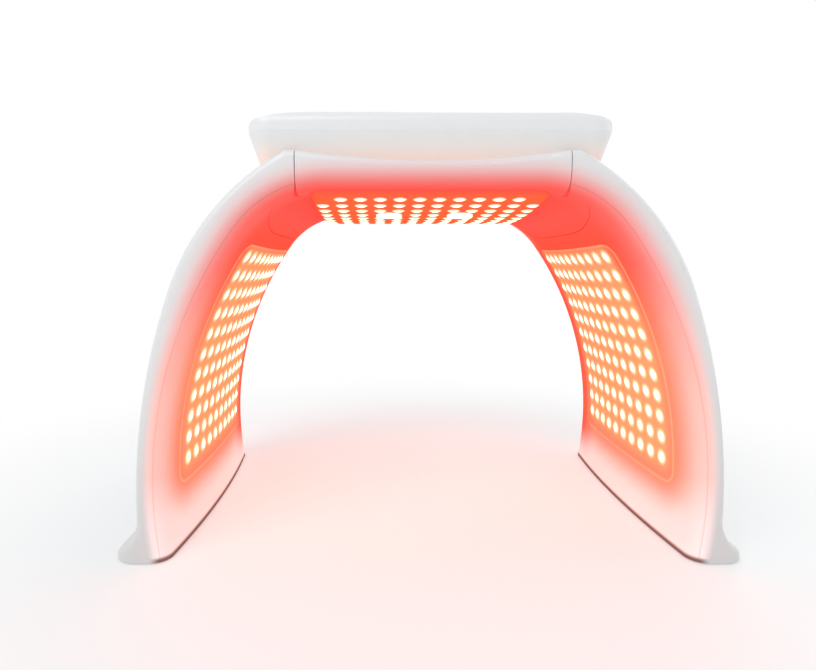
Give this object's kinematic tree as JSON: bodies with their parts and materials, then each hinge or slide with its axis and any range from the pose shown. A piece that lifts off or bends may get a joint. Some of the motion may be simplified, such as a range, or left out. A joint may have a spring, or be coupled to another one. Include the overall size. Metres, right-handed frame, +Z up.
{
  "type": "led therapy dome",
  "caption": "Arched light therapy dome with a fixed centre, two hinged wings lined with LED lenses, a ceiling LED panel with mist nozzles and a rounded head.",
  "frame": {"origin": "centre of the footprint, on the floor", "axes": "+X to the right seen from the front, +Y to the back, +Z up"},
  "size_m": [0.468, 0.256, 0.3337],
  "materials": {
    "shell": "satin white",
    "cover": "gloss white",
    "inner_shell": "gloss white",
    "led_panel": "gloss white",
    "lens": "clear, lit red",
    "nozzle": "gloss white",
    "board": "circuit board",
    "dark_plastic": "fine grain",
    "tube": "silicone",
    "steel": "ground",
    "tank": "frosted",
    "rubber": "matte",
    "display": "smoked window",
    "key": "satin",
    "cap": "satin white",
    "rocker": "satin black",
    "bush": "acetal"
  },
  "bodies": {
    "centre": {"centre_body": "shell", "ceiling_led_panel": "led_panel", "ceiling_led_board": "board", "ceiling_led_lenses": "lens", "nozzle_ring_left": "nozzle", "nozzle_ring_right": "nozzle", "atomiser_left": "dark_plastic", "atomiser_right": "dark_plastic", "mist_tube_left": "tube", "mist_tube_right": "tube", "hinge_pins": "steel", "head_shell": "shell", "head_cover": "cover", "head_screws": "steel", "water_tank": "tank", "tank_seal": "rubber", "display_window": "display", "display_board": "board", "key_board": "board", "main_board": "board", "power_inlet": "dark_plastic", "switch_bezel": "dark_plastic"},
    "wing_right": {"outer_shell_right": "shell", "inner_shell_right": "inner_shell", "led_panel_right": "led_panel", "led_board_right": "board", "led_lenses_right": "lens", "hinge_bushes_right": "bush", "foot_pads_right": "rubber"},
    "wing_left": {"outer_shell_left": "shell", "inner_shell_left": "inner_shell", "led_panel_left": "led_panel", "led_board_left": "board", "led_lenses_left": "lens", "hinge_bushes_left": "bush", "foot_pads_left": "rubber"},
    "key_power": {"key_power": "key"},
    "key_minus": {"key_minus": "key"},
    "key_light": {"key_light": "key"},
    "key_plus": {"key_plus": "key"},
    "key_mist": {"key_mist": "key"},
    "tank_cap": {"tank_cap": "cap"},
    "rocker": {"rocker_switch": "rocker"}
  },
  "joints": [
    {"name": "wing_right_hinge", "type": "hinge", "parent": "centre", "child": "wing_right", "pos_m": [0.112, 0, 0.277], "axis": [0, 1, 0], "range_deg": [0, 36]},
    {"name": "wing_left_hinge", "type": "hinge", "parent": "centre", "child": "wing_left", "pos_m": [-0.112, 0, 0.277], "axis": [0, -1, 0], "range_deg": [0, 36]},
    {"name": "key_power_press", "type": "slide", "parent": "centre", "child": "key_power", "axis": [0, 0, -1], "range_m": [0, 0.0008], "stiffness_N_per_m": 400},
    {"name": "key_minus_press", "type": "slide", "parent": "centre", "child": "key_minus", "axis": [0, 0, -1], "range_m": [0, 0.0008], "stiffness_N_per_m": 400},
    {"name": "key_light_press", "type": "slide", "parent": "centre", "child": "key_light", "axis": [0, 0, -1], "range_m": [0, 0.0008], "stiffness_N_per_m": 400},
    {"name": "key_plus_press", "type": "slide", "parent": "centre", "child": "key_plus", "axis": [0, 0, -1], "range_m": [0, 0.0008], "stiffness_N_per_m": 400},
    {"name": "key_mist_press", "type": "slide", "parent": "centre", "child": "key_mist", "axis": [0, 0, -1], "range_m": [0, 0.0008], "stiffness_N_per_m": 400},
    {"name": "tank_cap_lift", "type": "slide", "parent": "centre", "child": "tank_cap", "axis": [0, 0, 1], "range_m": [0, 0.03]},
    {"name": "rocker_turn", "type": "hinge", "parent": "centre", "child": "rocker", "pos_m": [0.052, 0.1158, 0.30545], "axis": [1, 0, 0], "range_deg": [0, 14]}
  ]
}
